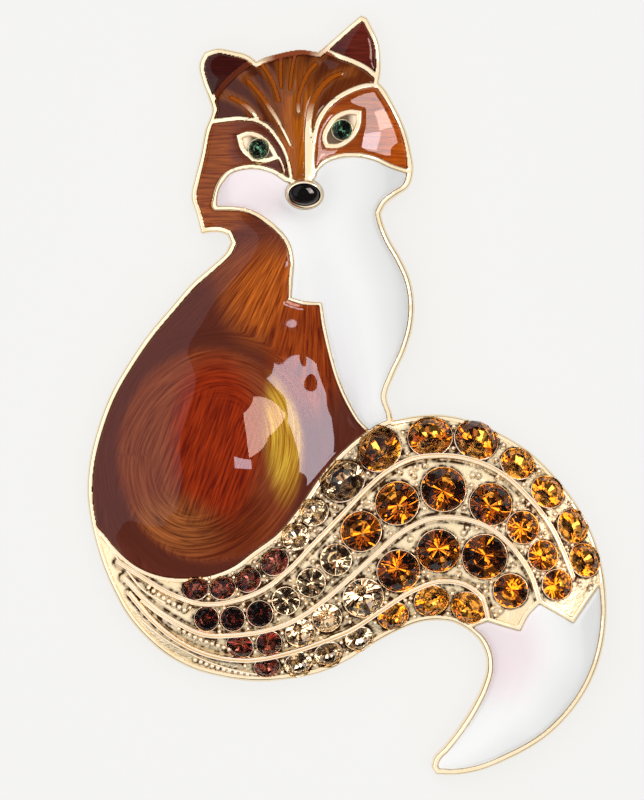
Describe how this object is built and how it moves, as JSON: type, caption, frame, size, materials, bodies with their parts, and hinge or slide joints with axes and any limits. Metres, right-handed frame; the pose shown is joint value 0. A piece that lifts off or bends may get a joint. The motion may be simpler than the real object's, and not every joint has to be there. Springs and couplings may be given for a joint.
{
  "type": "figural brooch",
  "caption": "Brooch in the shape of a sitting fox: a hollow cast metal front with enamel cells, a tail set with round cut stones, and a pin behind.",
  "frame": {"origin": "middle of the brooch's box, on the surface that its back rim lies on", "axes": "+Z out of the front, +Y up to the ears, +X to the right as seen from the front"},
  "size_m": [0.0424, 0.062, 0.0076],
  "materials": {
    "gold_plate": "polished, gold-plated cast zinc alloy",
    "ear_enamel": "glossy translucent enamel",
    "brown_enamel": "glossy translucent enamel",
    "orange_enamel": "glossy translucent enamel",
    "white_enamel": "glossy opaque enamel",
    "green_glass": "cut and foil-backed",
    "black_enamel": "glossy opaque enamel",
    "garnet_glass": "cut and foil-backed",
    "champagne_glass": "cut and foil-backed",
    "topaz_glass": "cut and foil-backed"
  },
  "bodies": {
    "root": {"casting": "gold_plate", "left_ear_enamel": "ear_enamel", "right_ear_enamel": "ear_enamel", "forehead_enamel": "brown_enamel", "cheek_enamel": "orange_enamel", "body_enamel": "brown_enamel", "white_front": "white_enamel", "white_tip": "white_enamel", "left_eye_stone": "green_glass", "right_eye_stone": "green_glass", "nose": "black_enamel", "pin_back": "gold_plate", "garnet_01": "garnet_glass", "garnet_02": "garnet_glass", "garnet_03": "garnet_glass", "garnet_04": "garnet_glass", "garnet_05": "garnet_glass", "garnet_06": "garnet_glass", "garnet_07": "garnet_glass", "garnet_08": "garnet_glass", "garnet_09": "garnet_glass", "garnet_10": "garnet_glass", "champagne_01": "champagne_glass", "champagne_02": "champagne_glass", "champagne_03": "champagne_glass", "champagne_04": "champagne_glass", "champagne_05": "champagne_glass", "champagne_06": "champagne_glass", "champagne_07": "champagne_glass", "champagne_08": "champagne_glass", "champagne_09": "champagne_glass", "champagne_10": "champagne_glass", "champagne_11": "champagne_glass", "champagne_12": "champagne_glass", "topaz_01": "topaz_glass", "topaz_02": "topaz_glass", "topaz_03": "topaz_glass", "topaz_04": "topaz_glass", "topaz_05": "topaz_glass", "topaz_06": "topaz_glass", "topaz_07": "topaz_glass", "topaz_08": "topaz_glass", "topaz_09": "topaz_glass", "topaz_10": "topaz_glass", "topaz_11": "topaz_glass", "topaz_12": "topaz_glass", "topaz_13": "topaz_glass", "topaz_14": "topaz_glass", "topaz_15": "topaz_glass", "topaz_16": "topaz_glass", "topaz_17": "topaz_glass", "topaz_18": "topaz_glass", "topaz_19": "topaz_glass", "topaz_20": "topaz_glass", "topaz_21": "topaz_glass"}
  },
  "joints": []
}
